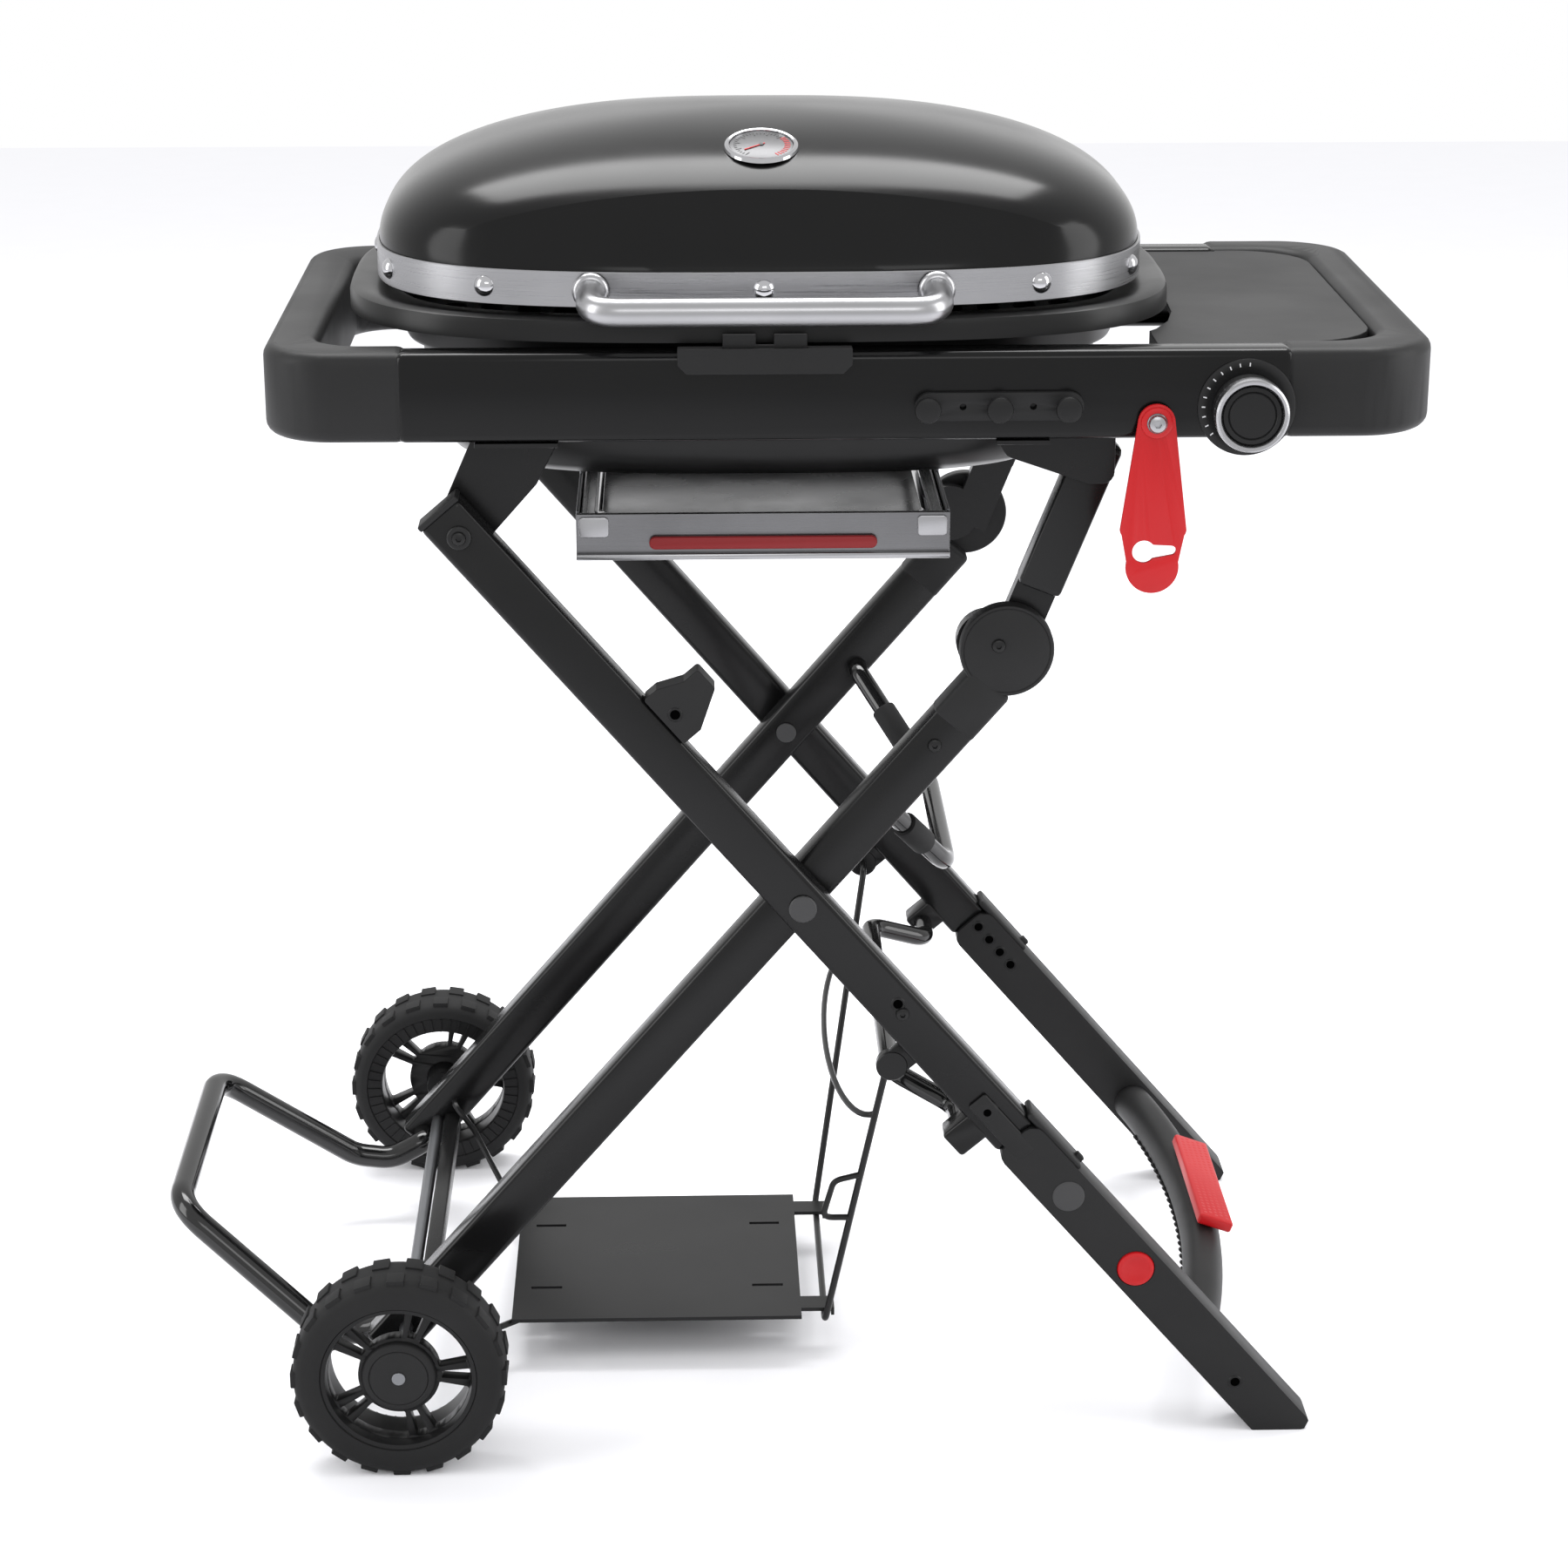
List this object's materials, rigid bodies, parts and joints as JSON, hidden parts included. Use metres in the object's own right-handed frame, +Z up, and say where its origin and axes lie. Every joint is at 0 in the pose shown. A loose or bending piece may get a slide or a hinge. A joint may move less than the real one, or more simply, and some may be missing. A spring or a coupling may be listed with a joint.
{
  "type": "portable gas grill on a folding cart",
  "caption": "Portable gas grill with a domed lid, folding scissor cart, side table, drip pan, lock lever, wheels and a low bottle shelf.",
  "frame": {"origin": "centre of the overall box on the ground", "axes": "+X to the side-table end, +Y to the back, +Z up; the rail with the knob faces -Y"},
  "size_m": [0.902, 0.564, 0.9469],
  "materials": {
    "black_enamel": "semi-gloss baked enamel",
    "black_paint": "satin powder coat",
    "dark_plastic": "fine matt grain",
    "brushed_steel": "brushed and satin",
    "cast_iron": "matt enamel",
    "brass": "turned",
    "red_plastic": "satin",
    "rubber": "matt"
  },
  "bodies": {
    "table_frame": {"front_rail": "black_enamel", "rear_rail": "black_enamel", "left_table_end": "dark_plastic", "right_table_end": "dark_plastic", "side_table": "dark_plastic", "hook_rack": "dark_plastic", "fold_bracket_front": "black_paint", "fold_bracket_rear": "black_paint", "link_bracket_front": "black_paint", "link_bracket_rear": "black_paint", "firebox": "black_enamel", "left_grate": "cast_iron", "right_grate": "cast_iron", "burner_tube": "brushed_steel", "gas_valve": "brass", "drip_tray_frame": "brushed_steel", "hinge_plate_left": "black_paint", "hinge_plate_right": "black_paint", "lid_lock_plate": "dark_plastic", "knob_bezel": "dark_plastic", "lever_bolt": "brushed_steel"},
    "lid": {"lid_shell": "black_enamel", "lid_band": "brushed_steel", "thermometer": "brushed_steel", "lid_handle": "brushed_steel", "hinge_arm_left": "black_paint", "hinge_arm_right": "black_paint"},
    "drip_pan": {"drip_pan": "brushed_steel", "drip_pan_grip": "red_plastic"},
    "lid_lock": {"lid_lock_slide": "dark_plastic"},
    "valve_stem": {"valve_stem": "brushed_steel"},
    "knob": {"control_knob": "dark_plastic"},
    "lock_lever": {"lock_lever": "red_plastic"},
    "outer_frame": {"outer_leg_front": "black_paint", "outer_leg_rear": "black_paint", "foot_front": "dark_plastic", "foot_rear": "dark_plastic", "fold_pin_front": "brushed_steel", "fold_pin_rear": "brushed_steel", "scissor_pin_front": "brushed_steel", "scissor_pin_rear": "brushed_steel", "cart_grip": "dark_plastic", "tread_pad": "red_plastic", "outer_cross_tube": "black_paint", "catch_block": "dark_plastic"},
    "release_button": {"release_button": "red_plastic"},
    "inner_frame": {"inner_leg_front": "black_paint", "inner_leg_rear": "black_paint", "inner_cross_tube": "black_paint", "axle_rod": "brushed_steel", "cross_channel": "black_paint", "rear_loop": "black_paint"},
    "link": {"link_front": "black_paint", "link_rear": "black_paint"},
    "wheel_front": {"tyre_front": "rubber", "rim_front": "dark_plastic"},
    "wheel_rear": {"tyre_rear": "rubber", "rim_rear": "dark_plastic"},
    "bottle_shelf": {"bottle_shelf": "black_paint"},
    "bottle_cradle": {"bottle_cradle": "black_paint"}
  },
  "joints": [
    {"name": "lid_hinge", "type": "hinge", "parent": "table_frame", "child": "lid", "pos_m": [-0.00349, 0.178, 0.834], "axis": [-1, 0, 0], "range_deg": [0, 95]},
    {"name": "drip_pan_slide", "type": "slide", "parent": "table_frame", "child": "drip_pan", "axis": [0, 1, 0], "range_m": [-0.28, 0]},
    {"name": "lid_lock_lift", "type": "slide", "parent": "table_frame", "child": "lid_lock", "axis": [0, 0, 1], "range_m": [0, 0.012]},
    {"name": "valve_push", "type": "slide", "parent": "table_frame", "child": "valve_stem", "axis": [0, 1, 0], "range_m": [0, 0.003], "stiffness_N_per_m": 2000, "springref_m": -0.003},
    {"name": "knob_turn", "type": "hinge", "parent": "valve_stem", "child": "knob", "pos_m": [0.31891, -0.232, 0.7722], "axis": [0, 1, 0], "range_deg": [0, 130]},
    {"name": "lever_swing", "type": "hinge", "parent": "table_frame", "child": "lock_lever", "pos_m": [0.25841, -0.232, 0.763], "axis": [0, -1, 0], "range_deg": [-70, 50]},
    {"name": "cart_fold", "type": "hinge", "parent": "table_frame", "child": "outer_frame", "pos_m": [-0.20979, 0, 0.6849], "axis": [0, -1, 0], "range_deg": [0, 49.27]},
    {"name": "button_press", "type": "slide", "parent": "outer_frame", "child": "release_button", "axis": [0, 1, 0], "range_m": [0, 0.004], "stiffness_N_per_m": 1500, "springref_m": -0.003},
    {"name": "scissor_turn", "type": "hinge", "parent": "outer_frame", "child": "inner_frame", "pos_m": [0.02271, 0, 0.4149], "axis": [0, 1, 0], "range_deg": [0, 98.54]},
    {"name": "knuckle_turn", "type": "hinge", "parent": "inner_frame", "child": "link", "pos_m": [0.15267, 0, 0.59556], "axis": [0, -1, 0], "range_deg": [0, 158.9]},
    {"name": "shelf_turn", "type": "hinge", "parent": "inner_frame", "child": "bottle_shelf", "pos_m": [-0.25319, 0, 0.0945], "axis": [0, -1, 0], "range_deg": [0, 50.21]},
    {"name": "cradle_turn", "type": "hinge", "parent": "outer_frame", "child": "bottle_cradle", "pos_m": [0.08711, 0, 0.289], "axis": [0, 1, 0], "range_deg": [0, 124.12]},
    {"name": "wheel_front_spin", "type": "hinge", "parent": "inner_frame", "child": "wheel_front", "pos_m": [-0.26783, -0.282, 0.0775], "axis": [0, 1, 0], "continuous": true},
    {"name": "wheel_rear_spin", "type": "hinge", "parent": "inner_frame", "child": "wheel_rear", "pos_m": [-0.26783, 0.282, 0.0775], "axis": [0, 1, 0], "continuous": true}
  ],
  "couplings": [
    {"joint": "scissor_turn", "follows": "cart_fold", "ratio": 2},
    {"joint": "knuckle_turn", "follows": "cart_fold", "ratio": 3.2251},
    {"joint": "shelf_turn", "follows": "cart_fold", "ratio": 1.0191},
    {"joint": "cradle_turn", "follows": "cart_fold", "ratio": 2.5194}
  ]
}
